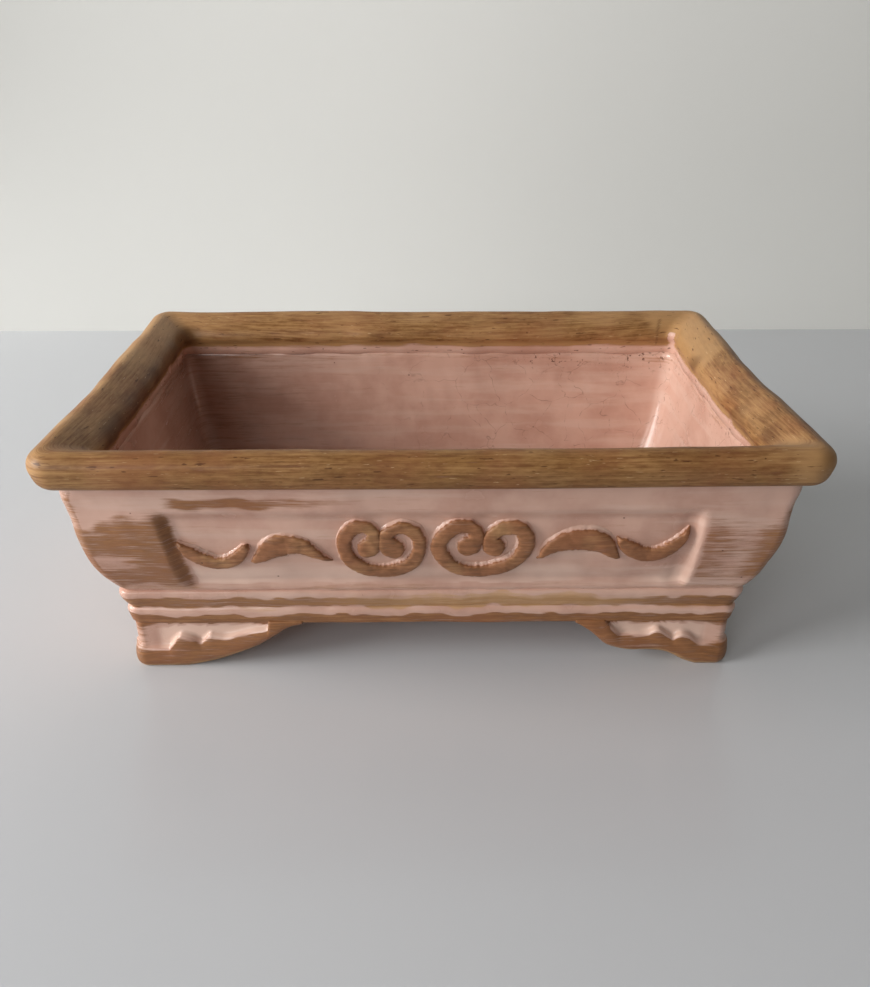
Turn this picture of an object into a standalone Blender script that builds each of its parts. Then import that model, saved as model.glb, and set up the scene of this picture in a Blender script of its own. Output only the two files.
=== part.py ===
"""Rectangular bonsai pot of glazed clay, as the separate clay parts that a potter joins before firing.

Metres, +Z up. The origin is on the table under the middle of the pot, +X runs along the long side and
-Y is the front. An inset is a distance in from the rim's outer face, measured on every side alike.
"""

import math

import bmesh
import bpy
from mathutils import Vector

# Overall size, over the rolled rim
LENGTH = 0.250
DEPTH = 0.156
HEIGHT = 0.093

# Left between parts that touch
GAP = 0.0003

# Rolled rim
RIM_WIDTH = 0.0166
RIM_HEIGHT = 0.0170
RIM_CORNER = 0.0090

# Walls
WALL = 0.0072
WALL_TOP_INSET = 0.0083
WALL_TAPER = 0.0092
WALL_CORNER = 0.0045

# Sunk panel in each wall
PANEL_HEAD = 0.0058
PANEL_SILL = 0.0022
PANEL_POST = 0.0363
PANEL_POST_SPREAD = 0.0018
PANEL_RECESS = 0.0025
PANEL_SLOPE = 0.0016

# Plinth moulding of two beads
PLINTH_HEIGHT = 0.0132
PLINTH_THICKNESS = 0.0026
BEAD_DEPTH = 0.0014

# Floor slab
FLOOR = 0.0070
DRAIN_RADIUS = 0.0060
DRAIN_SPACING = 0.1100
DRAIN_SEGMENTS = 24

# Bracket feet
FOOT_HEIGHT = 0.0198
FOOT_WALL = 0.0085
FOOT_INSET = 0.0171
FOOT_RECESS = 0.0012
FOOT_BORDER = 0.0062
FOOT_BORDER_MOST = 0.55
FOOT_LIP = 0.0010
FOOT_CORNER = 0.0050
FOOT_RETURN = 0.0420
FOOT_PAD = 0.0150
FOOT_TOE = 0.0007

# Applied ornament
RELIEF = 0.0020
RELIEF_TOP = 0.78

# The panels that the ornament below is drawn for: width at the bottom, and height
LONG_DRAWING = (0.1740, 0.0350)
END_DRAWING = (0.0950, 0.0417)

# Heights above the table
UNDERSIDE = FOOT_HEIGHT + GAP
PLINTH_TOP = FOOT_HEIGHT + PLINTH_HEIGHT
RIM_SEAT = HEIGHT - RIM_HEIGHT
PANEL_BOTTOM = PLINTH_TOP + PANEL_SILL
PANEL_TOP = RIM_SEAT - PANEL_HEAD
FLOOR_INSET = WALL_TOP_INSET + WALL_TAPER + WALL

MM = 0.001

# Lower edges of the feet at the two ends of the pot, drawn for a foot of this height: distance along
# the long leg from its outer corner, and height, in mm
FOOT_DRAWING = 0.0205
FOOT_ARCHES = {
    "left": [(19, 0), (27, 1.7), (35, 4.2), (45, 8.6), (53, 14.0), (59, 17.9), (66, 19.6)],
    "right": [(12, 0), (17, 2.0), (23, 5.4), (30, 6.4), (38, 6.8), (45, 9.0), (51, 14.8), (57, 19.4)],
}

# The ornament's middle lines in mm from the middle of the panel, each with its half width
LEFT_SCROLL = [
    (-20.3, 1.6, 3.2), (-18.9, 5.0, 1.9), (-19.0, 8.1, 1.9), (-21.6, 10.4, 2.2), (-25.2, 9.9, 2.4),
    (-28.3, 6.8, 2.4), (-29.2, 2.0, 2.3), (-27.4, -3.9, 2.5), (-23.0, -8.0, 2.7), (-17.0, -9.8, 2.9),
    (-11.0, -9.0, 2.8), (-6.2, -5.8, 2.4), (-3.5, -0.5, 2.0), (-3.4, 5.2, 2.0), (-6.3, 9.0, 2.1),
    (-10.3, 9.7, 2.1), (-13.8, 7.4, 2.0), (-14.0, 3.9, 2.4), (-12.2, 1.2, 3.3),
]
RIGHT_SCROLL = [
    (13.0, 2.3, 3.3), (14.9, 5.4, 1.9), (14.6, 8.8, 1.9), (11.6, 10.6, 2.3), (7.7, 9.9, 2.4),
    (4.0, 6.6, 2.4), (1.9, 2.0, 2.4), (4.3, -3.9, 2.6), (8.2, -8.2, 2.6), (15.4, -10.1, 2.5),
    (23.7, -8.2, 2.6), (29.4, -3.3, 2.6), (31.6, 3.3, 2.6), (29.8, 8.8, 2.6), (25.4, 9.9, 2.5),
    (21.3, 8.2, 2.1), (19.8, 5.2, 2.0), (21.0, 1.9, 3.2),
]
LEFT_INNER_LEAF = [
    (-60.3, -5.1, 0.4), (-56.5, -2.2, 2.6), (-52.3, 1.5, 4.2), (-47.8, 2.9, 4.3), (-43.0, 2.1, 3.5),
    (-38.4, -1.3, 1.9), (-33.4, -4.6, 0.4),
]
RIGHT_INNER_LEAF = [
    (34.9, -3.9, 0.4), (38.3, 0.3, 2.4), (42.8, 3.4, 3.8), (48.2, 4.3, 4.5), (53.4, 3.8, 4.6),
    (57.9, 1.3, 3.5), (60.4, -1.6, 1.8), (62.2, -3.9, 0.4),
]
LEFT_OUTER_LEAF = [
    (-83.3, 3.2, 0.8), (-80.2, -0.2, 2.6), (-76.3, -3.4, 3.0), (-71.8, -5.2, 2.6), (-67.6, -4.6, 2.6),
    (-63.9, -1.9, 2.3), (-61.4, 1.6, 1.5),
]
RIGHT_OUTER_LEAF = [
    (62.2, 4.8, 1.5), (65.2, 1.5, 3.0), (68.6, -1.6, 3.2), (73.3, -2.3, 3.2), (78.3, 0.0, 3.2),
    (81.6, 4.2, 2.4), (83.6, 8.6, 0.7),
]
LONG_ORNAMENT = {
    "left": {"scroll": LEFT_SCROLL, "inner_leaf": LEFT_INNER_LEAF, "outer_leaf": LEFT_OUTER_LEAF},
    "right": {"scroll": RIGHT_SCROLL, "inner_leaf": RIGHT_INNER_LEAF, "outer_leaf": RIGHT_OUTER_LEAF},
}

# How far the left scroll and leaf move to make the middle and one side of an end panel
END_SCROLL_SHIFT = 16.4
END_LEAF_SHIFT = 16.6

# How each wall's own axes lie: the direction along it, as seen from outside, and the way it faces
SIDES = {
    "front": (Vector((1, 0, 0)), Vector((0, -1, 0))),
    "right": (Vector((0, 1, 0)), Vector((1, 0, 0))),
    "back": (Vector((-1, 0, 0)), Vector((0, 1, 0))),
    "left": (Vector((0, -1, 0)), Vector((-1, 0, 0))),
}

# Base colour, roughness
PINK_GLAZE = ((0.46, 0.26, 0.19), 0.28)
BROWN_RIM = ((0.27, 0.145, 0.075), 0.42)
BROWN_BEAD = ((0.31, 0.165, 0.085), 0.42)
BROWN_FOOT = ((0.33, 0.17, 0.09), 0.42)
BROWN_SCROLL = ((0.28, 0.13, 0.065), 0.42)


def halves(side):
    """Half the pot along a side, and half of it across."""
    if side in ("front", "back"):
        return LENGTH / 2, DEPTH / 2
    return DEPTH / 2, LENGTH / 2


def place(side, along, out, z):
    """A point given along a side, out from the middle of the pot, and up."""
    run, facing = SIDES[side]
    return run * along + facing * out + Vector((0, 0, z))


def wall_inset(z):
    """The bellied outer face of the walls, from the rim's seat down to the plinth."""
    drop = (RIM_SEAT - z) / (RIM_SEAT - PLINTH_TOP)
    return WALL_TOP_INSET + WALL_TAPER * min(max(drop, 0), 1) ** 2


def smooth_line(points, steps):
    """A Catmull-Rom curve through the points, with this many steps from each to the next."""
    padded = [points[0], *points, points[-1]]
    line = []
    for before, start, end, after in zip(padded, padded[1:], padded[2:], padded[3:]):
        for step in range(steps):
            t = step / steps
            line.append(
                tuple(
                    0.5 * (2 * b + (c - a) * t + (2 * a - 5 * b + 4 * c - d) * t**2
                           + (3 * b - a - 3 * c + d) * t**3)
                    for a, b, c, d in zip(before, start, end, after)
                )
            )
    return [*line, tuple(points[-1])]


def glaze(name, look):
    """A material of this part's own."""
    colour, roughness = look
    material = bpy.data.materials.new(name)
    material.use_nodes = True
    shader = material.node_tree.nodes["Principled BSDF"]
    shader.inputs["Base Color"].default_value = (*colour, 1)
    shader.inputs["Roughness"].default_value = roughness
    shader.inputs["Metallic"].default_value = 0
    material.diffuse_color = (*colour, 1)
    return material


def add_object(name, mesh_maker, look):
    """One clay part from a finished bmesh, shaded smooth over its gentle bends."""
    bmesh.ops.recalc_face_normals(mesh_maker, faces=mesh_maker.faces)
    mesh = bpy.data.meshes.new(name)
    mesh_maker.to_mesh(mesh)
    mesh_maker.free()
    mesh.shade_smooth()
    mesh.set_sharp_from_angle(angle=math.radians(35))
    mesh.materials.append(glaze(name, look))
    part = bpy.data.objects.new(name, mesh)
    part.parent = bpy.data.objects["bonsai_pot"]
    bpy.context.scene.collection.objects.link(part)
    return part


def loft(name, sections, look):
    """A closed body through a row of closed sections, with a flat cap on each end."""
    shape = bmesh.new()
    rings = [[shape.verts.new(point) for point in section] for section in sections]
    count = len(rings[0])
    for ring, following in zip(rings, rings[1:]):
        for k in range(count):
            after = (k + 1) % count
            shape.faces.new((ring[k], ring[after], following[after], following[k]))
    shape.faces.new(rings[0])
    shape.faces.new(rings[-1][::-1])
    return add_object(name, shape, look)


def corner_stops(half_run, half_across, inset, radius):
    """From the mitre to the end of the rounded corner: points along and out, at a side's right end."""
    stops = []
    for degrees in (45, 67.5, 90):
        turn = math.radians(degrees)
        along = half_run - inset - radius + radius * math.cos(turn)
        out = half_across - inset - radius + radius * math.sin(turn)
        stops.append((along, out))
    mitre_along, mitre_out = stops[0]
    stops[0] = (mitre_along - GAP / math.sqrt(2), mitre_out)
    return stops


def side_length(name, side, profile, look, inner_stops=lambda inset, z: []):
    """A length of wall or moulding along one side, mitred at both ends.

    profile is its closed section: inset, height and plan corner radius. inner_stops gives the
    right-hand stops between the corners at an inset and height, as pairs of along and sunk depth.
    """
    half_run, half_across = halves(side)
    columns = []
    for inset, z, radius in profile:
        right = corner_stops(half_run, half_across, inset, radius)
        for along, sunk in inner_stops(inset, z):
            right.append((along, half_across - inset - sunk))
        left = [(-along, out) for along, out in right[::-1]]
        columns.append([place(side, along, out, z) for along, out in right + left])
    return loft(name, list(zip(*columns)), look)


def panel_depth(z):
    """How far the panel is sunk below the wall's face at a height."""
    inside = min(z - PANEL_BOTTOM, PANEL_TOP - z)
    return PANEL_RECESS * min(max(inside / PANEL_SLOPE, 0), 1)


def panel_half_width(side, z):
    """The posts between panel and corner widen towards the foot of the wall."""
    fall = (PANEL_TOP - z) / (PANEL_TOP - PANEL_BOTTOM)
    return halves(side)[0] - PANEL_POST - PANEL_POST_SPREAD * min(max(fall, 0), 1)


def make_wall(side):
    """A wall slab: bellied outside with a sunk panel, rebated below for the plinth, plain inside."""
    field_top = PANEL_TOP - PANEL_SLOPE
    field_bottom = PANEL_BOTTOM + PANEL_SLOPE
    heights = [RIM_SEAT - GAP, PANEL_TOP, field_top]
    heights += [field_top + (field_bottom - field_top) * share for share in (0.25, 0.5, 0.7, 0.85)]
    heights += [field_bottom, PANEL_BOTTOM, PLINTH_TOP + GAP]
    profile = [(wall_inset(z), z, WALL_CORNER) for z in heights]
    rebate = WALL_TOP_INSET + WALL_TAPER + PLINTH_THICKNESS
    profile += [(rebate, PLINTH_TOP + GAP, WALL_CORNER), (rebate, UNDERSIDE, WALL_CORNER)]
    profile += [(FLOOR_INSET, UNDERSIDE, WALL_CORNER)]
    top = RIM_SEAT - GAP
    for share in (0, 0.2, 0.45, 0.7, 1):
        z = PLINTH_TOP + (top - PLINTH_TOP) * share
        profile.append((wall_inset(z) + WALL, z, WALL_CORNER))

    def panel_stops(inset, z):
        half = panel_half_width(side, z)
        outside = inset < wall_inset(z) + WALL / 2
        return [(half, 0), (half - PANEL_SLOPE, panel_depth(z) if outside else 0)]

    return side_length(f"{side}_wall", side, profile, PINK_GLAZE, panel_stops)


def make_rim(side):
    """A length of the rolled rim: a flattened roll outside and on top, coved down to the wall's top."""
    inner = RIM_WIDTH
    roll = [
        (0.0000, -0.0054), (0.0007, -0.0029), (0.0027, -0.0010), (0.0060, 0.0000),
        (0.56 * inner, -0.0012), (0.76 * inner, -0.0031), (0.92 * inner, -0.0055),
        (inner, -0.0085), (inner - 0.0003, -0.0104), (WALL_TOP_INSET + WALL, -0.0118),
    ]
    cove = [(0.0048, -0.0146), (0.0022, -0.0121), (0.0006, -0.0090)]
    seat = [(WALL_TOP_INSET + WALL, -RIM_HEIGHT), (WALL_TOP_INSET, -RIM_HEIGHT)]
    profile = []
    for inset, drop in roll + seat + cove:
        radius = max(RIM_CORNER - inset, WALL_CORNER)
        profile.append((inset, HEIGHT + drop, radius))
    return side_length(f"{side}_rim", side, profile, BROWN_RIM)


def make_plinth(side):
    """Two stacked beads with a groove between, on a flat back that fills the walls' rebate."""
    face = WALL_TOP_INSET + WALL_TAPER
    back = face + PLINTH_THICKNESS - GAP
    proud = 0.7 * BEAD_DEPTH
    groove = 0.3 * BEAD_DEPTH
    outline = [
        (face + groove, 1.00), (face - proud, 0.90), (face - proud, 0.76), (face, 0.64),
        (face + groove, 0.56), (face - 0.6 * proud, 0.50), (face - 0.6 * proud, 0.36),
        (face + groove, 0.22), (face + 1.4 * groove, 0.0),
    ]
    rise = PLINTH_TOP - UNDERSIDE
    profile = [(inset, UNDERSIDE + rise * share, WALL_CORNER) for inset, share in outline]
    profile += [(back, UNDERSIDE, WALL_CORNER), (back, PLINTH_TOP, WALL_CORNER)]
    return side_length(f"{side}_plinth", side, profile, BROWN_BEAD)


def make_floor():
    """The floor slab inside the walls, with two round drainage holes through it."""
    half_x = LENGTH / 2 - FLOOR_INSET - GAP
    half_y = DEPTH / 2 - FLOOR_INSET - GAP
    outline = []
    for quarter in range(4):
        for degrees in (0, 30, 60, 90):
            turn = math.radians(degrees + 90 * quarter)
            across = math.copysign(half_x - WALL_CORNER, math.cos(math.radians(45 + 90 * quarter)))
            back = math.copysign(half_y - WALL_CORNER, math.sin(math.radians(45 + 90 * quarter)))
            outline.append((across + WALL_CORNER * math.cos(turn), back + WALL_CORNER * math.sin(turn)))
    sections = [[(x, y, z) for x, y in outline] for z in (UNDERSIDE, UNDERSIDE + FLOOR)]
    floor = loft("floor_slab", sections, PINK_GLAZE)
    for number, x in enumerate((-DRAIN_SPACING / 2, DRAIN_SPACING / 2), 1):
        hole = bmesh.new()
        bmesh.ops.create_cone(
            hole,
            cap_ends=True,
            segments=DRAIN_SEGMENTS,
            radius1=DRAIN_RADIUS,
            radius2=DRAIN_RADIUS,
            depth=3 * FLOOR,
        )
        cutter = add_object(f"drain_cutter_{number}", hole, PINK_GLAZE)
        cutter.location = (x, 0, UNDERSIDE + FLOOR / 2)
        cutter.hide_render = True
        cutter.display_type = "WIRE"
        drill = floor.modifiers.new(f"drain_{number}", "BOOLEAN")
        drill.object = cutter
        drill.solver = "EXACT"
    return floor


def foot_section(lower):
    """Inset and height round a foot's section, where its lower edge is at this height.

    The raised border keeps its height until the foot gets too low for it, and then a share of it.
    """
    top = FOOT_HEIGHT
    reach = top - lower
    border = lower + min(FOOT_BORDER, FOOT_BORDER_MOST * reach)
    lip = min(FOOT_LIP, 0.1 * reach)
    return [
        (FOOT_INSET + FOOT_RECESS, top),
        (FOOT_INSET + FOOT_RECESS, border + lip),
        (FOOT_INSET, border),
        (FOOT_INSET, lower + 2 * lip),
        (FOOT_INSET + FOOT_TOE, lower),
        (FOOT_INSET + FOOT_WALL, lower),
        (FOOT_INSET + FOOT_WALL, top),
    ]


def foot_station(kind, value, lower):
    """A foot's section on one leg or on the turn between them, for the corner at +X and +Y."""
    corner_x = LENGTH / 2 - FOOT_INSET
    corner_y = DEPTH / 2 - FOOT_INSET
    section = []
    for inset, z in foot_section(lower):
        deeper = inset - FOOT_INSET
        radius = max(FOOT_CORNER - deeper, MM)
        x = corner_x - deeper
        y = corner_y - deeper
        if kind == "turn":
            x += radius * (math.cos(value) - 1)
            y += radius * (math.sin(value) - 1)
        elif kind == "long_leg":
            x = corner_x - value
        else:
            y = corner_y - value
        section.append((x, y, z))
    return section


def make_foot(front, left):
    """An L-shaped bracket foot: a long leg on the long side, a short leg on the end."""
    x_way = -1 if left else 1
    y_way = -1 if front else 1
    drawn = FOOT_ARCHES["left" if left else "right"]
    high = FOOT_HEIGHT / FOOT_DRAWING
    long_leg = smooth_line([(s * MM, z * MM * high) for s, z in drawn], 2)
    tip = long_leg[-1][1]
    short_leg = []
    for t in (0, 0.2, 0.4, 0.6, 0.8, 1):
        short_leg.append((FOOT_PAD + (FOOT_RETURN - FOOT_PAD) * t, tip * t * t * (3 - 2 * t)))

    sections = [foot_station("long_leg", s, lower) for s, lower in reversed(long_leg)]
    sections.append(foot_station("long_leg", FOOT_WALL + MM, 0))
    sections += [foot_station("turn", math.radians(turn), 0) for turn in (90, 60, 30, 0)]
    sections += [foot_station("short_leg", s, lower) for s, lower in short_leg]
    name = f"{'front' if front else 'back'}_{'left' if left else 'right'}_foot"
    mirrored = [[(x_way * x, y_way * y, z) for x, y, z in section] for section in sections]
    return loft(name, mirrored, BROWN_FOOT)


def rounded_ends(stations):
    """The middle line with narrowing stations added past both ends, so that the ends are round."""
    before, after = [], []
    for end, beside, added in ((stations[0], stations[1], before), (stations[-1], stations[-2], after)):
        x, z, half = end
        away = Vector((x - beside[0], z - beside[1])).normalized()
        for degrees in (40, 75):
            turn = math.radians(degrees)
            reach = away * half * math.sin(turn)
            added.append((x + reach.x, z + reach.y, half * math.cos(turn)))
    return [*reversed(before), *stations, *after]


def make_ornament(name, side, drawn, drawing):
    """A raised band laid on a panel: its middle line is drawn flat and follows the panel's curve."""
    wide = 2 * panel_half_width(side, PANEL_BOTTOM) / drawing[0]
    high = (PANEL_TOP - PANEL_BOTTOM) / drawing[1]
    thick = min(wide, high)
    middle = (PANEL_TOP + PANEL_BOTTOM) / 2
    half_across = halves(side)[1]
    line = smooth_line([(x * MM * wide, z * MM * high, half * MM * thick) for x, z, half in drawn], 2)
    line = rounded_ends(line)
    sections = []
    for k, (x, z, half) in enumerate(line):
        before = line[max(k - 1, 0)]
        after = line[min(k + 1, len(line) - 1)]
        way = Vector((after[0] - before[0], after[1] - before[1])).normalized()
        top = RELIEF_TOP * half
        section = []
        for reach, height in ((half, GAP), (top, RELIEF), (-top, RELIEF), (-half, GAP)):
            level = middle + z + way.x * reach
            out = half_across - wall_inset(level) - PANEL_RECESS + height
            section.append(place(side, x - way.y * reach, out, level))
        sections.append(section)
    return loft(name, sections, BROWN_SCROLL)


def make_long_ornament(side):
    """The six ornaments of a long panel, each named for the end of the pot that it lies towards."""
    other = {"left": "right", "right": "left"}
    for drawn_side, pieces in LONG_ORNAMENT.items():
        towards = drawn_side if side == "front" else other[drawn_side]
        for piece, drawn in pieces.items():
            make_ornament(f"{side}_{towards}_{piece}", side, drawn, LONG_DRAWING)


def make_end_ornament(side):
    """One scroll in the middle of an end panel, with a leaf towards the front and one towards the back."""
    scroll = [(x + END_SCROLL_SHIFT, z, half) for x, z, half in LEFT_SCROLL]
    leaf = [(x + END_LEAF_SHIFT, z, half) for x, z, half in LEFT_INNER_LEAF]
    mirrored = [(-x, z, half) for x, z, half in leaf]
    front, back = (leaf, mirrored) if side == "right" else (mirrored, leaf)
    make_ornament(f"{side}_end_scroll", side, scroll, END_DRAWING)
    make_ornament(f"{side}_end_front_leaf", side, front, END_DRAWING)
    make_ornament(f"{side}_end_back_leaf", side, back, END_DRAWING)


def main():
    for leftover in list(bpy.data.objects):
        bpy.data.objects.remove(leftover)
    pot = bpy.data.objects.new("bonsai_pot", None)
    bpy.context.scene.collection.objects.link(pot)
    make_floor()
    for side in SIDES:
        make_wall(side)
        make_rim(side)
        make_plinth(side)
    for front in (True, False):
        for left in (True, False):
            make_foot(front, left)
    for side in ("front", "back"):
        make_long_ornament(side)
    for side in ("left", "right"):
        make_end_ornament(side)


main()
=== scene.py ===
"""Looks for the bonsai pot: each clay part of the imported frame, rebuilt as hand-made glazed clay.

Metres, +Z up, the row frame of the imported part: the front faces -Y and the long side runs along X.
An inset is a distance in from the rim's outer face, measured on every side alike.
"""

import math

import bmesh
import bpy
import numpy as np
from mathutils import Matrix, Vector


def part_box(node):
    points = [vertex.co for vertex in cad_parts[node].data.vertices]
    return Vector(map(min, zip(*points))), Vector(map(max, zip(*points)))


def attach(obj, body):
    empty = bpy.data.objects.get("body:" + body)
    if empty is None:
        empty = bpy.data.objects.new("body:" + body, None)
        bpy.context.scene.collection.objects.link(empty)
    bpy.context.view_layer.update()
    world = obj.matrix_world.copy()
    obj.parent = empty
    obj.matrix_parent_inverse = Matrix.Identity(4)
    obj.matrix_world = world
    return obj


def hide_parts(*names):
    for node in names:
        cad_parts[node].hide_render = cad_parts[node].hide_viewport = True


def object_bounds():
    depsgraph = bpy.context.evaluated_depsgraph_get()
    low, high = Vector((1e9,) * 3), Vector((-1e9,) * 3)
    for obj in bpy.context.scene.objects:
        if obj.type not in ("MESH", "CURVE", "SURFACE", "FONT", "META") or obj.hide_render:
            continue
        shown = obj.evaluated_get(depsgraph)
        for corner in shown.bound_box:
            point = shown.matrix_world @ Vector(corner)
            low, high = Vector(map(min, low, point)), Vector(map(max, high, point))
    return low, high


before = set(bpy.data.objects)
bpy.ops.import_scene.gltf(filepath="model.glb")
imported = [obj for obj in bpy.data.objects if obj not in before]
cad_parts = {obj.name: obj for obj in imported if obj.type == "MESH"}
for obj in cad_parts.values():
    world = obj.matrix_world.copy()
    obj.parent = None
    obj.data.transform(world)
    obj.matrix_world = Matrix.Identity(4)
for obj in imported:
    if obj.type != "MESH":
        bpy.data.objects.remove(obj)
bounds_at_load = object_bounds()

MM = 0.001

# Sizes taken from the frame
POT_HIGH = bounds_at_load[1]
HALF_LENGTH = POT_HIGH.x
HALF_DEPTH = POT_HIGH.y
HEIGHT = POT_HIGH.z
RIM_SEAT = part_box("front_rim")[0].z
PLINTH_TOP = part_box("front_plinth")[1].z
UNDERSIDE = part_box("front_plinth")[0].z
FLOOR_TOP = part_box("floor_slab")[1].z
FOOT_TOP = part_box("front_left_foot")[1].z
FOOT_INSET = HALF_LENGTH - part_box("front_right_foot")[1].x

# Rim
RIM_WIDTH = 0.0166
RIM_CORNER = 0.0090

# Walls, and the plinth round their foot
WALL = 0.0072
WALL_TOP_INSET = 0.0083
WALL_TAPER = 0.0092
WALL_CORNER = 0.0045
WALL_ROWS = 76
INNER_ROWS = 22
FLOOR_FILLET = 0.0050
PLINTH_FACE = 0.0170

# Sunk panels
PANEL_BOTTOM = PLINTH_TOP + 0.0022
PANEL_TOP = RIM_SEAT - 0.0058
PANEL_MIDDLE = (PANEL_TOP + PANEL_BOTTOM) / 2 + 0.0007
PANEL_POST = 0.0363
PANEL_POST_SPREAD = 0.0018
PANEL_RECESS = 0.0025

# Ornament: the panel size that each drawing was made for, in metres, then the middle line of each
# band in mm from the panel's middle, as x, z and half width
LONG_DRAWING = (0.1740, 0.0350)
END_DRAWING = (0.0950, 0.0417)
LEFT_SCROLL = [
    (-20.6, 1.6, 3.7), (-19.0, 4.6, 2.7), (-19.0, 8.0, 2.0), (-21.6, 10.4, 2.2), (-25.2, 9.9, 2.4),
    (-28.0, 6.8, 2.4), (-28.8, 2.0, 2.3), (-27.1, -3.9, 2.5), (-23.0, -8.0, 2.7), (-17.0, -9.8, 2.9),
    (-11.0, -9.0, 2.8), (-6.2, -5.8, 2.4), (-3.5, -0.5, 2.0), (-3.4, 5.2, 2.0), (-6.3, 9.0, 2.1),
    (-10.3, 9.7, 2.1), (-13.9, 7.6, 2.0), (-14.3, 4.4, 2.9), (-12.6, 1.4, 4.0),
]
RIGHT_SCROLL = [
    (12.6, 2.3, 3.8), (14.6, 5.3, 2.5), (14.6, 8.6, 2.0), (11.6, 10.6, 2.3), (7.7, 9.9, 2.4),
    (4.0, 6.6, 2.4), (1.9, 2.0, 2.4), (4.3, -3.9, 2.6), (8.2, -8.2, 2.6), (15.4, -10.1, 2.5),
    (23.7, -8.2, 2.6), (29.6, -3.3, 2.6), (31.9, 3.3, 2.6), (30.0, 8.8, 2.6), (25.4, 9.9, 2.5),
    (21.3, 8.2, 2.1), (19.6, 5.4, 2.5), (20.8, 2.0, 3.7),
]
LEFT_INNER_LEAF = [
    (-60.3, -5.1, 0.4), (-56.5, -2.2, 2.6), (-52.3, 1.5, 4.2), (-47.8, 2.9, 4.3), (-43.0, 2.1, 3.5),
    (-38.4, -1.3, 1.9), (-33.4, -4.6, 0.4),
]
RIGHT_INNER_LEAF = [
    (34.9, -3.9, 0.4), (38.3, 0.3, 2.4), (42.8, 3.4, 3.8), (48.2, 4.3, 4.5), (53.4, 3.8, 4.6),
    (57.0, 1.6, 3.6), (59.8, -1.6, 2.0), (62.5, -4.4, 0.3),
]
LEFT_OUTER_LEAF = [
    (-83.3, 3.2, 0.8), (-80.2, -0.2, 2.6), (-76.3, -3.4, 3.0), (-71.8, -5.2, 2.6), (-67.6, -4.6, 2.6),
    (-63.9, -1.9, 2.3), (-61.4, 1.6, 1.5),
]
RIGHT_OUTER_LEAF = [
    (60.6, 5.0, 0.5), (62.8, 2.8, 2.1), (65.8, 0.2, 3.0), (69.2, -1.8, 3.2), (73.6, -2.2, 3.1),
    (78.2, 0.2, 2.9), (81.6, 4.2, 2.0), (83.8, 8.8, 0.4),
]
LONG_ORNAMENT = {
    "left": {"scroll": LEFT_SCROLL, "inner_leaf": LEFT_INNER_LEAF, "outer_leaf": LEFT_OUTER_LEAF},
    "right": {"scroll": RIGHT_SCROLL, "inner_leaf": RIGHT_INNER_LEAF, "outer_leaf": RIGHT_OUTER_LEAF},
}
END_SCROLL_SHIFT = 17.0
END_LEAF_SHIFT = 16.6

# Feet. The drawings below give the distance from the outer corner along the long leg, and the
# height, in mm on a foot of FOOT_DRAWING
FOOT_WALL = 0.0085
FOOT_FACE = FOOT_INSET + 0.0005
FOOT_RETURN = 0.0420
FOOT_PAD = 0.0150
FOOT_CORNER = 0.0050
FOOT_STEP = 0.0005
FOOT_OUTER_ROWS = 18
CORNER_REACH = 0.004
FOOT_DRAWING = 20.5
FOOT_ARCHES = {
    "left": [(19, 0), (27, 1.8), (35, 4.6), (45, 9.2), (52, 14.0), (57, 17.6), (62, 19.4)],
    "right": [(12, 0), (17, 2.0), (23, 5.4), (30, 6.4), (38, 6.8), (45, 9.0), (51, 14.8), (57, 19.4)],
}
# Upper edge of the raised border: scalloped, then up to the plinth where the sunk field ends
FOOT_BORDERS = {
    "left": [
        (0, 8.0), (12.4, 7.8), (14.0, 9.0), (17.4, 12.9), (19.0, 13.3), (22.0, 12.2), (24.6, 10.4),
        (26.0, 10.9), (28.4, 13.3), (30.4, 13.1), (34.0, 12.6), (38.0, 13.4), (44.0, 15.2), (49.6, 16.6),
        (51.6, 20.5), (70, 20.5),
    ],
    "right": [
        (0, 9.2), (9.0, 9.0), (12.7, 9.8), (15.5, 12.2), (18.2, 13.2), (20.0, 12.5), (21.6, 11.4),
        (23.8, 13.0), (26.4, 15.0), (28.2, 15.1), (31.0, 13.3), (36.3, 12.9), (40.2, 12.6), (41.8, 13.6),
        (44.0, 16.2), (47.0, 20.0), (49, 20.5), (70, 20.5),
    ],
}

# Along a side: (run direction, facing direction)
SIDES = {
    "front": ((1, 0), (0, -1)),
    "right": ((0, 1), (1, 0)),
    "back": ((-1, 0), (0, 1)),
    "left": ((0, -1), (-1, 0)),
}

# The walls' outer face, from the plinth up to the underside of the bead: height and inset, in mm
WALL_FACE_DRAWING = [
    (30.0, 17.7), (33.0, 17.2), (34.4, 16.5), (36.0, 15.4), (42.0, 12.7), (48.0, 10.7), (54.0, 9.4),
    (60.0, 8.5), (66.0, 8.1), (72.0, 7.4), (76.0, 6.7), (78.5, 6.0), (80.5, 5.1), (81.8, 4.5), (82.6, 4.2),
]


# -------------------- shapes


def smoothstep(low, high, value):
    """0 below low, 1 above high, smooth between; low may be the larger."""
    t = np.clip((np.asarray(value, float) - low) / (high - low), 0, 1)
    return t * t * (3 - 2 * t)


def band(low, high, soft, value):
    """1 between low and high, falling to 0 over the soft width outside them."""
    return smoothstep(low - soft, low, value) * (1 - smoothstep(high, high + soft, value))


def waves(points, size, seed, count=22):
    """Smooth noise of about -1 to 1 at 3-D points, its features about this size."""
    random = np.random.default_rng(seed)
    ways = random.normal(size=(count, 3))
    ways /= np.linalg.norm(ways, axis=1)[:, None]
    pitch = size * random.uniform(0.6, 1.7, count)
    phase = random.uniform(0, 2 * math.pi, count)
    flat = np.asarray(points, float).reshape(-1, 3)
    total = np.zeros(len(flat))
    for way, wavelength, start in zip(ways, pitch, phase):
        total += np.sin(flat @ way * (2 * math.pi / wavelength) + start)
    return (total * math.sqrt(2 / count)).reshape(np.asarray(points).shape[:-1]) * 0.7


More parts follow.
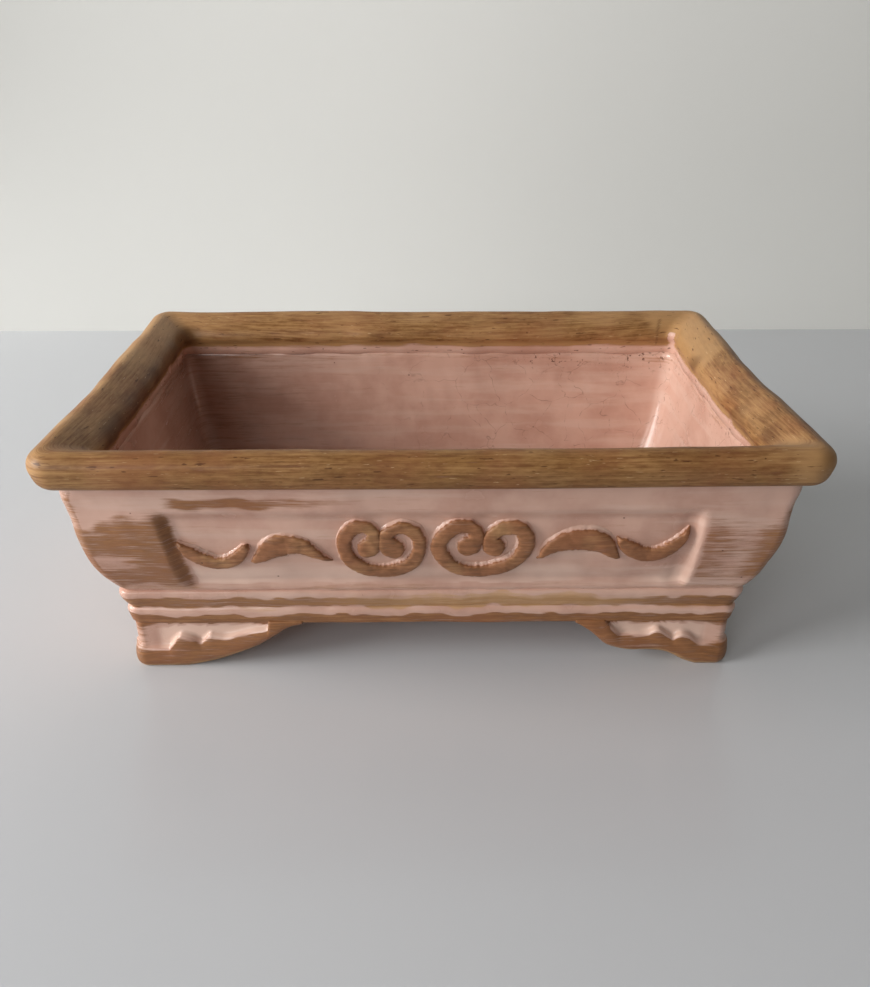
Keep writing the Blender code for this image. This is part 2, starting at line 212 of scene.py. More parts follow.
def smooth_line(points, steps):
    """A Catmull-Rom curve through the points."""
    points = np.asarray(points, float)
    padded = np.vstack([points[:1], points, points[-1:]])
    rows = []
    for a, b, c, d in zip(padded, padded[1:], padded[2:], padded[3:]):
        for t in np.arange(steps) / steps:
            bend = (2 * a - 5 * b + 4 * c - d) * t**2
            rows.append(0.5 * (2 * b + (c - a) * t + bend + (3 * b - a - 3 * c + d) * t**3))
    return np.vstack([rows, points[-1:]])


def even_steps(line, step):
    """The line again with even steps, measured over its first two columns."""
    length = np.concatenate([[0], np.cumsum(np.linalg.norm(np.diff(line[:, :2], axis=0), axis=1))])
    stops = np.linspace(0, length[-1], max(int(length[-1] / step), 2) + 1)
    return np.column_stack([np.interp(stops, length, line[:, k]) for k in range(line.shape[1])])


WALL_FACE = smooth_line(np.array(WALL_FACE_DRAWING) * MM, 8)


def halves(side):
    """Half the pot along a side, and half of it across."""
    return (HALF_LENGTH, HALF_DEPTH) if side in ("front", "back") else (HALF_DEPTH, HALF_LENGTH)


def place(side, along, out, z):
    """World points from a distance along a side, a distance out from the middle and a height."""
    run, facing = SIDES[side]
    along, out, z = np.broadcast_arrays(along, out, z)
    return np.stack([run[0] * along + facing[0] * out, run[1] * along + facing[1] * out, z], axis=-1)


def wall_inset(z):
    """The outer face of the walls, flaring out under the rim."""
    return np.interp(z, WALL_FACE[:, 0], WALL_FACE[:, 1])


def inner_inset(z):
    """The inner face of the walls, tapering in towards the floor."""
    drop = (RIM_SEAT - z) / (RIM_SEAT - PLINTH_TOP)
    return WALL_TOP_INSET + WALL + WALL_TAPER * np.clip(drop, 0, 1) ** 2


def panel_half_width(side, z):
    """Half the width of a sunk panel, which narrows towards its foot."""
    fall = np.clip((PANEL_TOP - z) / (PANEL_TOP - PANEL_BOTTOM), 0, 1)
    return halves(side)[0] - PANEL_POST - PANEL_POST_SPREAD * fall


def panel_edges(side, z):
    """Left and right edge of the sunk panel; the long sides were cut a little askew."""
    fall = np.clip((PANEL_TOP - z) / (PANEL_TOP - PANEL_BOTTOM), 0, 1)
    half = panel_half_width(side, z)
    if side in ("front", "back"):
        return -half - 0.0003 + 0.0028 * fall, half - 0.0009 + 0.0004 * fall
    return -half, half


def settle(points):
    """The slump of hand-built clay: bowed ends, and a front that sits lower at its left end."""
    moved = np.array(points, float)
    x, y, z = moved[..., 0], moved[..., 1], moved[..., 2]
    high = smoothstep(0.030, 0.082, z)
    bow = np.where(x > 0, 0.0023, 0.0012) * smoothstep(0.055, 0.100, np.abs(x))
    moved[..., 0] = x - np.sign(x) * bow * high * (1 - (y / HALF_DEPTH) ** 2)
    front = smoothstep(0.075, -0.075, y)
    drop = 0.0009 * (1 - smoothstep(0.010, 0.120, x)) * front
    moved[..., 2] = z - drop * np.clip(z / HEIGHT, 0, 1)
    return moved


def ring(levels, step, shift=None):
    """A closed band round the pot. levels: inset, z and corner radius of each point of its section.

    shift(side, along, inset, z) gives how far each point moves in from its inset. Returns the points
    as [station, level, xyz] and, with the same shape, their side number and distance along it.
    """
    inset, z, radius = (np.asarray(v, float) for v in zip(*levels))
    rows, numbers, alongs = [], [], []
    for number, side in enumerate(SIDES):
        half_run, half_across = halves(side)
        flat_end = half_run - inset - radius
        for share in np.linspace(-1, 1, int(2 * half_run / step))[:-1]:
            along = share * flat_end
            moved = inset + (shift(side, along, inset, z) if shift else 0)
            rows.append(place(side, along, half_across - moved, z))
            numbers.append(np.full(len(z), number))
            alongs.append(along)
        for turn in np.radians(np.linspace(0, 90, 11))[:-1]:
            along = flat_end + radius * math.sin(turn)
            moved = shift(side, along, inset, z) if shift else 0
            reach = radius - moved
            out = half_across - inset - radius + reach * math.cos(turn)
            rows.append(place(side, flat_end + reach * math.sin(turn), out, z))
            numbers.append(np.full(len(z), number))
            alongs.append(along)
    return np.array(rows), np.array(numbers), np.array(alongs)


def section_length(points):
    """Distance round the section at each point of a [station, level] grid."""
    steps = np.linalg.norm(np.diff(points, axis=1), axis=2)
    return np.concatenate([np.zeros((len(points), 1)), np.cumsum(steps, axis=1)], axis=1)


def grid_faces(points, closed):
    """Quads over a [station, level] grid whose sections are loops; closed joins the last to the first."""
    stations, levels = points.shape[:2]
    i = np.arange(stations if closed else stations - 1)[:, None]
    j = np.arange(levels)[None, :]
    after_i = (i + 1) % stations
    after_j = (j + 1) % levels
    here, there = i * levels, after_i * levels
    quads = np.stack([here + j, there + j, there + after_j, here + after_j], -1)
    faces = [tuple(q) for q in quads.reshape(-1, 4).tolist()]
    if not closed:
        faces.append(tuple(range(levels)))
        faces.append(tuple(range((stations - 1) * levels, stations * levels))[::-1])
    return faces


def new_mesh(name, points, faces):
    """A mesh of these points and faces."""
    mesh = bpy.data.meshes.new(name)
    mesh.from_pydata(points, [], faces)
    return mesh


def new_object(name, data):
    """An object in the scene."""
    made = bpy.data.objects.new(name, data)
    bpy.context.scene.collection.objects.link(made)
    return made


def add_piece(name, points, faces, coat, brush, slot, nodes):
    """A piece of the pot: its mesh, what the glaze reads from it, and the nodes that it stands for.

    coat holds three shares at each point: brown stain (below 0 a pale pink instead, laid on as painted
    highlight and painted light), ochre stain, on the rim partly painted light, and dark stain, partly
    painted shade. brush is where the point lies in the brush strokes, in metres: the strokes run along
    its first two axes.
    """
    mesh = new_mesh(name, settle(points).reshape(-1, 3).tolist(), faces)
    builder = bmesh.new()
    builder.from_mesh(mesh)
    bmesh.ops.recalc_face_normals(builder, faces=builder.faces)
    builder.to_mesh(mesh)
    builder.free()
    for label, values in (("coat", coat), ("brush", brush)):
        attribute = mesh.attributes.new(label, "FLOAT_VECTOR", "POINT")
        attribute.data.foreach_set("vector", np.asarray(values, np.float32).reshape(-1))
    mesh.shade_smooth()
    mesh.materials.append(GLAZES[slot])
    piece = new_object(name, mesh)
    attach(piece, "root")
    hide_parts(*nodes)
    return piece


def add_band(name, part, points, coat, brush, slot):
    """A closed band round the pot, in place of the four nodes of that part."""
    nodes = [f"{side}_{part}" for side in SIDES]
    return add_piece(name, points, grid_faces(points, True), coat, brush, slot, nodes)


def push_out(points, amount, ends, long_sides):
    """Moves the pot's faces out by amount: each axis from its first distance, and fully at its second."""
    for axis, (first, second) in enumerate((ends, long_sides)):
        where = points[..., axis]
        points[..., axis] += amount * np.sign(where) * smoothstep(first, second, np.abs(where))


def stack(*values):
    """Shares or coordinates side by side, as vectors."""
    return np.stack(np.broadcast_arrays(*values), axis=-1)


# -------------------- glazes


class Look:
    """A node material being put together."""

    def __init__(self, name):
        self.material = bpy.data.materials.new(name)
        self.material.use_nodes = True
        self.tree = self.material.node_tree
        self.shader = self.tree.nodes["Principled BSDF"]

    def put(self, socket, value):
        if isinstance(value, bpy.types.NodeSocket):
            self.tree.links.new(value, socket)
        else:
            socket.default_value = value

    def node(self, kind, inputs=None, **settings):
        made = self.tree.nodes.new(kind)
        for key, value in settings.items():
            setattr(made, key, value)
        for key, value in (inputs or {}).items():
            self.put(made.inputs[key], value)
        return made

    def math(self, operation, first, second):
        return self.node("ShaderNodeMath", {0: first, 1: second}, operation=operation).outputs[0]

    def times(self, first, second):
        return self.math("MULTIPLY", first, second)

    def plus(self, first, second):
        return self.math("ADD", first, second)

    def ramp(self, value, low, high, to_low=0.0, to_high=1.0):
        """A smooth step of value from low to high, spread over to_low to to_high."""
        return self.node(
            "ShaderNodeMapRange",
            {"Value": value, "From Min": low, "From Max": high, "To Min": to_low, "To Max": to_high},
            interpolation_type="SMOOTHSTEP",
        ).outputs[0]

    def mix(self, share, first, second):
        made = self.node("ShaderNodeMix", data_type="RGBA")
        for index, value in ((0, share), (6, first), (7, second)):
            self.put(made.inputs[index], value)
        return made.outputs[2]

    def noise(self, vector, scale, detail=3.0, roughness=0.55):
        return self.node(
            "ShaderNodeTexNoise",
            {"Vector": vector, "Scale": scale, "Detail": detail, "Roughness": roughness},
        ).outputs[0]

    def stretch(self, vector, factors):
        return self.node(
            "ShaderNodeVectorMath", {0: vector, 1: factors}, operation="MULTIPLY"
        ).outputs[0]

    def attribute(self, label):
        return self.node("ShaderNodeAttribute", attribute_name=label).outputs["Vector"]

    def finished(self, surface):
        for label, value in surface.items():
            self.put(self.shader.inputs[label], value)
        return self.material


def srgb(red, green, blue):
    """A colour given as 0-255 screen values, in the linear values that a shader takes."""
    linear = []
    for value in (red, green, blue):
        share = value / 255
        linear.append(share / 12.92 if share <= 0.04045 else ((share + 0.055) / 1.055) ** 2.4)
    return (*linear, 1.0)


PINK = srgb(214, 174, 156)
PINK_DEEP = srgb(197, 154, 136)
PINK_PALE = srgb(221, 190, 174)
PAINTED_LIGHT_PINK = srgb(239, 208, 190)
BROWN = srgb(166, 115, 74)
RIM_BROWN = srgb(163, 121, 73)
SCROLL_BROWN = srgb(174, 119, 82)
BROWN_DEEP = srgb(112, 71, 37)
BROWN_RED = srgb(150, 94, 61)
OCHRE = srgb(197, 155, 106)
DARK_STAIN_AND_SHADE = srgb(68, 31, 11)
PALE_EDGE = srgb(222, 190, 146)


def glazed_clay(
    name, rough_glaze, rough_stain, crackle=0.0, pitted=0.0, mottled=0.32, brown=BROWN, shine=0.5
):
    """Glossy pink glaze with brown stain dragged over it by a nearly dry brush.

    crackle, pitted and mottled are how strong its cracks, its pits and the blotches of its stain are.
    """
    look = Look(name)
    where = look.node("ShaderNodeTexCoord").outputs["Object"]
    brush = look.attribute("brush")
    coat = look.node("ShaderNodeSeparateXYZ", {0: look.attribute("coat")}).outputs

    # Noise: brush strokes that are long and thin, blotches, and grain
    fine = look.noise(look.stretch(brush, (44, 44, 1150)), 1.0, 3.0, 0.55)
    hairs = look.noise(look.stretch(brush, (110, 110, 3400)), 1.0, 2.0, 0.6)
    broad = look.noise(look.stretch(brush, (24, 24, 230)), 1.0, 3.0, 0.5)
    streaks = look.plus(look.times(fine, 0.62), look.times(hairs, 0.38))
    clouds = look.noise(where, 42.0, 4.0, 0.6)
    mottle = look.noise(look.stretch(brush, (170, 170, 560)), 1.0, 4.0, 0.65)
    grain = look.noise(where, 1500.0, 3.0, 0.6)

    pink_colour = look.mix(look.ramp(clouds, 0.35, 0.68), PINK, PINK_DEEP)
    pink_colour = look.mix(look.ramp(broad, 0.45, 0.72, 0.0, 0.5), pink_colour, PINK_PALE)
    blotch = look.plus(look.times(streaks, 1 - mottled), look.times(mottle, mottled))
    brown_colour = look.mix(look.ramp(blotch, 0.31, 0.69), BROWN_DEEP, brown)
    brown_colour = look.mix(look.ramp(clouds, 0.40, 0.68, 0.0, 0.45), brown_colour, BROWN_RED)

    uneven = look.times(look.math("SUBTRACT", streaks, 0.5), 2.4)
    uneven = look.plus(uneven, look.times(look.math("SUBTRACT", mottle, 0.5), 0.7))
    ochre_share = look.ramp(look.plus(coat[1], look.times(uneven, 0.42)), 0.30, 0.90)
    stain_share = look.ramp(look.plus(coat[0], look.times(uneven, 0.76)), 0.20, 0.80)
    dark_stain_and_shade_share = look.ramp(look.plus(coat[2], look.times(uneven, 0.05)), 0.05, 0.95)

    colour = look.mix(look.times(ochre_share, 0.75), pink_colour, OCHRE)
    stained = look.mix(look.times(ochre_share, 0.62), brown_colour, OCHRE)
    colour = look.mix(stain_share, colour, stained)
    # Below zero the brown share turns to a pale pink: painted highlight and painted light
    colour = look.mix(look.ramp(coat[0], -0.05, -0.60, 0.0, 0.75), colour, PAINTED_LIGHT_PINK)
    # The dark share is dark stain in some places and painted shade in others
    colour = look.mix(dark_stain_and_shade_share, colour, DARK_STAIN_AND_SHADE)

    # Pinholes
    cells = look.node("ShaderNodeTexVoronoi", {"Vector": where, "Scale": 210.0})
    chosen = look.node("ShaderNodeSeparateColor", {0: cells.outputs["Color"]}).outputs[0]
    pin_size = look.ramp(chosen, 0.86, 1.0, 0.0, 0.075)
    pins = look.math("LESS_THAN", cells.outputs["Distance"], pin_size)
    colour = look.mix(look.times(pins, 0.7), colour, DARK_STAIN_AND_SHADE)

    if pitted:
        pits = look.ramp(look.noise(look.stretch(brush, (190, 190, 950)), 1.0, 2.0, 0.5), 0.665, 0.72)
        colour = look.mix(look.times(pits, pitted), colour, DARK_STAIN_AND_SHADE)
        scratches = look.ramp(look.noise(look.stretch(brush, (240, 240, 2600)), 1.0, 2.0, 0.5), 0.70, 0.74)
        colour = look.mix(look.times(scratches, 0.8 * pitted), colour, PALE_EDGE)

    if crackle:
        wear = look.node("ShaderNodeSeparateXYZ", {0: look.attribute("wear")}).outputs
        drift = look.node("ShaderNodeTexNoise", {"Vector": where, "Scale": 90.0}).outputs[1]
        wander = look.node(
            "ShaderNodeVectorMath", {0: where, 1: look.stretch(drift, (0.012, 0.012, 0.012))}, operation="ADD"
        ).outputs[0]
        cracks = look.node(
            "ShaderNodeTexVoronoi", {"Vector": wander, "Scale": 62.0}, feature="DISTANCE_TO_EDGE"
        ).outputs[0]
        lines = look.times(look.ramp(cracks, 0.014, 0.0), look.ramp(mottle, 0.40, 0.62, 0.0, crackle))
        colour = look.mix(look.times(lines, wear[0]), colour, DARK_STAIN_AND_SHADE)
        specks = look.ramp(look.noise(where, 520.0, 3.0, 0.6), 0.60, 0.68)
        colour = look.mix(look.times(specks, wear[1]), colour, DARK_STAIN_AND_SHADE)

    height = look.plus(look.times(streaks, 0.6), look.times(mottle, 0.6))
    height = look.plus(height, look.times(grain, 0.12))
    height = look.times(height, look.ramp(stain_share, 0.0, 1.0, 0.30, 1.0))
    height = look.math("SUBTRACT", height, look.times(pins, 0.8))
    bump = look.node("ShaderNodeBump", {"Strength": 0.30, "Distance": 0.0003, "Height": height})

    rough = look.ramp(stain_share, 0.0, 1.0, rough_glaze, rough_stain)
    rough = look.plus(rough, look.ramp(clouds, 0.3, 0.7, -0.04, 0.06))
    surface = {
        "Base Color": colour,
        "Roughness": rough,
        "Normal": bump.outputs[0],
        "IOR": 1.45,
        "Specular IOR Level": shine,
        "Coat Weight": 0.06,
        "Coat Roughness": 0.10,
    }
    return look.finished(surface)


# One look for each material slot of the record
GLAZES = {
    slot: glazed_clay(slot, *settings, **more)
    for slot, settings, more in (
        ("wall_glaze", (0.22, 0.46), {"crackle": 0.38}),
        ("floor_glaze", (0.22, 0.44), {}),
        ("rim_stain", (0.24, 0.50), {"pitted": 0.7, "mottled": 0.50, "brown": RIM_BROWN, "shine": 0.28}),
        ("bead_stain", (0.24, 0.44), {}),
        ("foot_stain", (0.24, 0.44), {}),
        ("scroll_stain", (0.15, 0.50), {"mottled": 0.6, "brown": SCROLL_BROWN}),
    )
}


# -------------------- walls


def panel_sink(side, along, inset, z):
    """How far the wall's outer face lies below its belly, at the soft-edged panel."""
    outside = inset < wall_inset(z) + 0.3 * WALL
    left, right = panel_edges(side, z)
    sideways = smoothstep(-0.0008, 0.0034, along - left) * smoothstep(-0.0006, 0.0020, right - along)
    upright = smoothstep(-0.0010, 0.0050, PANEL_TOP - z) * smoothstep(-0.0010, 0.0044, z - PANEL_BOTTOM)
    near = np.minimum(along - left, right - along)
    gutter = 0.0006 * np.exp(-(((near - 0.0040) / 0.0024) ** 2)) * upright
    return np.where(outside, PANEL_RECESS * sideways * upright + gutter, 0)


def wall_levels():
    """The section of the walls, from the top down the outside and up the inside, and how many are outside."""
    top = 0.0824
    levels = [(0.0056, top + 0.0008, WALL_CORNER)]
    for z in np.linspace(top, PLINTH_TOP + 0.0002, WALL_ROWS):
        levels.append((float(wall_inset(z)), z, WALL_CORNER + 0.0045 * float(smoothstep(0.074, 0.082, z))))
    hidden = PLINTH_FACE + 0.0034
    levels += [(hidden, PLINTH_TOP - 0.0006, WALL_CORNER), (hidden, UNDERSIDE, WALL_CORNER)]
    outer_count = len(levels)
    foot_of_wall = WALL_TOP_INSET + WALL_TAPER + WALL
    levels += [(foot_of_wall + 0.003, UNDERSIDE, WALL_CORNER)]
    levels += [(foot_of_wall + FLOOR_FILLET, FLOOR_TOP - 0.0003, WALL_CORNER)]
    for turn in np.radians(np.linspace(90, 0, 6)):
        inset = foot_of_wall + FLOOR_FILLET * (1 - math.cos(turn))
        z = FLOOR_TOP + FLOOR_FILLET * (1 - math.sin(turn))
        levels.append((inset, z, WALL_CORNER + 0.0015))
    for z in np.linspace(FLOOR_TOP + FLOOR_FILLET, RIM_SEAT + 0.0006, INNER_ROWS)[1:]:
        levels.append((float(inner_inset(z)), z, WALL_CORNER + 0.0012))
    levels += [(WALL_TOP_INSET + WALL - 0.0014, RIM_SEAT + 0.0014, WALL_CORNER)]
    return levels, outer_count


def paint_wall(side, points, along, ragged):
    """Brown, ochre and dark stain on the outer face of one wall, with painted shade and painted light."""
    z = points[..., 2]
    half_run = halves(side)[0]
    left_edge, right_edge = panel_edges(side, z)
    reach = along + half_run
    from_left = reach - wall_inset(z)
    from_right = half_run - along - wall_inset(z)

    # A brushed patch from the left corner to the panel, its top rising to the right, worn pale low down
    top = np.clip(0.0650 + (reach - 0.014) * 0.26, 0.0600, 0.0706)
    left = smoothstep(-0.004, 0.004, reach - 0.008 + 2 * ragged)
    left *= 1 - smoothstep(left_edge + 0.0020, left_edge + 0.0052, along)
    under_top = 1 - smoothstep(top - 0.0032, top + 0.0024, z + ragged)
    left *= smoothstep(0.0335, 0.0385, z + ragged) * under_top
    pale = band(-0.1090, -0.1040, 0.008, along) * band(0.0475, 0.0512, 0.0024, z)
    left = left * (1 - 0.55 * pale)
    # A thinner one on the right, strongest by the panel and at the corner
    right = smoothstep(right_edge - 0.0002, right_edge + 0.0022, along + 0.5 * ragged)
    right *= smoothstep(0.0360, 0.0430, z + ragged) * (1 - smoothstep(0.0590, 0.0740, z + ragged))
    by_panel = 1 - smoothstep(0.004, 0.016, along - right_edge)
    right *= 0.34 + 0.22 * by_panel + 0.34 * smoothstep(0.014, 0.003, from_right)
    # Both vertical corners, one stroke over the panel, and a line where the wall meets the plinth
    corner = smoothstep(0.0060, 0.0, np.minimum(from_left, from_right) + ragged)
    corner = corner * band(0.036, 0.080, 0.004, z)
    stroke = smoothstep(-0.088, -0.080, along) * (1 - smoothstep(-0.066, -0.008, along))
    stroke = stroke * band(0.0722, 0.0750, 0.0016, z + 0.3 * ragged)
    foot_line = band(0.0348, 0.0366, 0.0009, z + 0.25 * ragged)
    foot_line = foot_line * (0.5 + 0.5 * smoothstep(-0.8, 0.8, waves(stack(along, 0, 0), 0.05, 16)))
    worn = 0.07 + 0.06 * waves(points, 0.030, 17)
    # Painted shade darkens the panel's left slope; painted highlight pales its right slope, and painted light
    # pales the foot of the wall
    shade = band(left_edge + 0.0008, left_edge + 0.0018, 0.0022, along) * band(0.0445, 0.0640, 0.007, z)
    lit = band(right_edge - 0.0011, right_edge + 0.0001, 0.0014, along) * band(0.0430, 0.0650, 0.006, z)

    if side == "front":
        stain = np.maximum(np.maximum(0.70 * left, right), 0.74 * stroke)
        ochre = np.maximum(np.maximum(0.30 * left, 0.60 * right), 0.45 * foot_line + 0.30 * stroke)
        # On the front, painted shade also darkens the right end
        shade = shade + 0.25 * smoothstep(0.022, 0.0, from_right)
    else:
        stain = np.maximum(0.62 * left, right)
        ochre = np.maximum(0.40 * left, 0.45 * right) + 0.40 * foot_line
    stain = np.maximum(np.maximum(stain, 0.42 * foot_line), np.maximum(0.54 * corner, worn))
    # Brown fills the painted shade on the front panel's left slope
    if side == "front":
        stain = stain + 0.12 * shade * (along < 0)
    # Painted light: the foot of the wall is paled where little stain lies
    stain = stain - 0.46 * band(0.0358, 0.0440, 0.005, z) * (1 - smoothstep(0, 0.2, stain))
    # The right slope's painted highlight replaces its stain, and the painted shade becomes the dark share
    return stain * (1 - lit) - 0.30 * lit, ochre, 0.15 * shade


def make_walls():
    """The four walls as one body, plain inside, its foot filleted into the floor."""
    levels, outer_count = wall_levels()
    points, numbers, along = ring(levels, 0.00095, panel_sink)
    z = points[..., 2]
    outside = (np.arange(len(levels)) < outer_count) & (z > 0)
    uneven = waves(points, 0.030, 11) * 0.00022 + waves(points, 0.011, 12) * 0.00007
    push_out(points, uneven, (0.090, 0.112), (0.045, 0.062))

    # Inside: a stained edge under the rim, a back left corner darkened by stain and painted shade, and
    # painted shade deepening towards the left
    x, y = points[..., 0], points[..., 1]
    waver = waves(points, 0.022, 14) * 0.0010 + waves(points, 0.006, 15) * 0.0003
    upper = smoothstep(0.0690, 0.0765, z + waver)
    back_left_stain_and_shade = smoothstep(0.000, 0.100, -x) * smoothstep(-0.020, 0.050, y)
    inner_stain_and_shade = 0.30 * back_left_stain_and_shade + 0.10 * smoothstep(0.08, 0.02, x)
    coat = stack(0.26 * upper + 0.24 * back_left_stain_and_shade, 0.30 * upper, inner_stain_and_shade)
    ragged = waves(points, 0.008, 13) * 0.0012
    for number, side in enumerate(SIDES):
        here = (numbers == number) & outside
        coat = np.where(here[..., None], stack(*paint_wall(side, points, along, ragged)), coat)
    piece = add_band("walls", "wall", points, coat, stack(x, y, z), "wall_glaze")

    # Crackle and specks, inside only
    specks = 0.8 * band(0.05, 0.10, 0.02, x) * smoothstep(0.066, 0.074, z)
    inside = ~outside
    wear = stack(inside * smoothstep(-0.05, 0.04, x), inside * specks, 0)
    attribute = piece.data.attributes.new("wear", "FLOAT_VECTOR", "POINT")
    attribute.data.foreach_set("vector", wear.astype(np.float32).reshape(-1))


# -------------------- rim


def make_rim():
    """The rolled rim as one body: a brushed bead over a pink cove."""
    w = RIM_WIDTH
    roll = [
        (0.0056, -0.0132), (0.0036, -0.0125), (0.0018, -0.0109), (0.0006, -0.0085), (0.0000, -0.0055),
        (0.0007, -0.0028), (0.0027, -0.0009), (0.0060, 0.0000), (0.56 * w, -0.0012), (0.76 * w, -0.0031),
        (0.92 * w, -0.0055), (w, -0.0085), (w - 0.0003, -0.0104), (WALL_TOP_INSET + WALL, -0.0118),
    ]
    roll = even_steps(smooth_line(roll, 12), 0.0007)
    inner = WALL_TOP_INSET + WALL
    seat = [(inner, -0.0140), (inner, -0.0166), (inner - 0.0008, -0.0170), (0.0075, -0.0138)]
    section = [tuple(p) for p in roll] + seat
    levels = [(inset, HEIGHT + drop, max(RIM_CORNER - inset, WALL_CORNER)) for inset, drop in section]
    points = ring(levels, 0.0010)[0]
    across = section_length(points)
    x, y, z = points[..., 0], points[..., 1], points[..., 2]
    inset = np.array(levels)[:, 0] + 0 * z

    # Hand-rolled: the bead swells and dips a little, always inwards
    swell = (waves(points, 0.045, 21) - 0.9) * 0.00022 + (waves(points, 0.014, 22) - 0.8) * 0.00007
    bead = smoothstep(HEIGHT - 0.0125, HEIGHT - 0.0080, z)
    points[..., 2] += np.minimum(swell, 0) * bead * smoothstep(HEIGHT - 0.006, HEIGHT - 0.001, z)
    outer = smoothstep(0.006, 0.0, inset) * bead
    push_out(points, np.minimum(swell, 0) * outer, (0.112, 0.120), (0.066, 0.073))
    inner = smoothstep(0.012, w, inset)
    lumps = waves(points, 0.020, 23) * 0.00035 * inner
    push_out(points, lumps, (0.100, 0.108), (0.054, 0.061))

    # Brown on the bead; ochre, partly stain and partly painted light, most on the right rail, the left end
    # and the back; painted shade on the inner slope, heaviest on the left rail, and towards the front right;
    # darker along the front
    waver = waves(points, 0.016, 24) * 0.0002
    outside = inset < 0.0080
    under = smoothstep(0.0794, 0.0801, z + waver)
    inside_edge = smoothstep(0.0800, 0.0812, z + 2 * waver)
    stain = np.where(outside, under, inside_edge)
    # An ochre line along the inner ledge: a painted highlight on the bead's lower edge
    ledge = np.where(outside, 0, band(0.0808, 0.0820, 0.0005, z + waver))
    patches = smoothstep(-0.6, 1.1, waves(points, 0.026, 26))
    right_rail = smoothstep(0.090, 0.112, x)
    left_end = smoothstep(-0.080, -0.118, x)
    ochre = 0.22 + 0.22 * patches + right_rail * (0.18 + 0.30 * patches) + 0.30 * left_end
    ochre = ochre + 0.6 * ledge + 0.26 * smoothstep(0.0, 0.05, y)
    left_rail = smoothstep(-0.098, -0.108, x) * smoothstep(-0.060, -0.045, y)
    front_right = smoothstep(0.050, 0.110, x) * smoothstep(-0.062, -0.070, y)
    dark = 0.10 * smoothstep(0.0, 1.2, waves(points, 0.024, 27))
    # Painted shade on the inner slope, heaviest on the left rail
    dark = dark + (0.16 + 0.40 * left_rail) * smoothstep(0.0110, w, inset)
    # Painted shade towards the front right; darker along the front
    dark = dark + 0.10 * front_right + 0.12 * smoothstep(-0.058, -0.070, y)
    blotches = smoothstep(0.0, 0.9, waves(points, 0.022, 28))
    dark = dark + 0.30 * right_rail * smoothstep(0.0080, 0.0140, inset) * blotches
    # A seam and a drip of glaze at the inner back right corner
    seam = np.exp(-(((x - 0.1015 - 0.3 * (y - 0.062)) / 0.0009) ** 2)) * band(0.0610, 0.0665, 0.0012, y)
    drip = smoothstep(0.0024, 0.0012, np.hypot(x - 0.1078, y - 0.0607))
    drip = drip * smoothstep(0.0145, 0.0160, inset) * smoothstep(0.0870, 0.0850, z)
    dark = np.maximum(dark, 0.5 * seam)
    stain = stain * (1 - drip)
    points[..., 2] += 0.0006 * drip
    coat = stack(stain * 1.05, ochre * stain, dark * stain)
    add_band("rim", "rim", points, coat, stack(x, y, across), "rim_stain")


# -------------------- plinth


def make_plinth():
    """Two uneven beads round the foot of the walls."""
    # Height and depth behind the face, in mm, from the ledge down to the underside
    outline = [
        (34.3, 1.2), (34.0, 0.1), (33.4, -0.7), (32.2, -0.9), (30.6, -0.6), (29.0, -0.1), (27.4, 0.5),
        (26.2, 1.1), (25.4, 0.6), (24.6, 0.3), (23.6, 0.3), (22.4, 0.5), (21.0, 0.7), (19.8, 0.9),
        (19.1, 1.2), (18.9, 2.0),
    ]
    outline = even_steps(smooth_line([(deep * MM, up * MM) for up, deep in outline], 8), 0.00042)
    section = [(PLINTH_FACE + deep, up) for deep, up in outline]
    rise = section[0][1] - section[-1][1]
    bottom = section[-1][1]
    back = PLINTH_FACE + 0.0052
    section += [(back, bottom), (back, section[0][1])]
    levels = [(inset, z, WALL_CORNER) for inset, z in section]
    points = ring(levels, 0.0010)[0]
    across = section_length(points)
    x, y = points[..., 0], points[..., 1]
    share = ((points[..., 2] - bottom) / rise).copy()
    proud = np.arange(points.shape[1])[None, :] < len(outline)
    sag = waves(points * (1, 1, 0), 0.060, 31) * 0.00030 + waves(points * (1, 1, 0), 0.018, 32) * 0.00012
    points[..., 2] += sag * proud * smoothstep(0.05, 0.35, share) * (1 - smoothstep(0.93, 1.0, share))
    fat = (waves(points, 0.024, 33) * 0.00016 + waves(points, 0.007, 34) * 0.00006) * proud
    push_out(points, fat, (0.098, 0.106), (0.052, 0.060))

    waver = waves(points, 0.020, 35) * 0.04 + waves(points, 0.006, 36) * 0.03
    level = share + waver
    upper_brown = band(0.50, 0.75, 0.07, level)
    lower_brown = 1 - smoothstep(0.25, 0.31, level)
    # Ridge tops: stain wiped thin, with a painted highlight on top of that
    pale = band(0.86, 0.95, 0.05, share) + band(0.35, 0.43, 0.03, share)
    ochre_run = smoothstep(-0.060, 0.02, x) * smoothstep(0.085, 0.045, x)
    ends = smoothstep(0.085, 0.104, np.abs(x))
    stain = 0.66 * upper_brown * (1 - 0.30 * ochre_run) + 0.78 * lower_brown + 0.08 + 0.22 * ends
    ochre = 0.22 * upper_brown + 0.45 * ochre_run * band(0.52, 0.86, 0.06, level) + 0.10 * lower_brown + 0.26
    stain = np.clip(stain * (1 - 0.75 * pale), 0, 1) - 0.15 * pale
    # Painted shade in the crease where the plinth meets the wall
    dark = 0.08 * lower_brown + 0.35 * smoothstep(0.985, 1.0, share)
    coat = stack(stain, ochre, dark)
    add_band("plinth", "plinth", points, coat, stack(x, y, across), "bead_stain")


# -------------------- feet


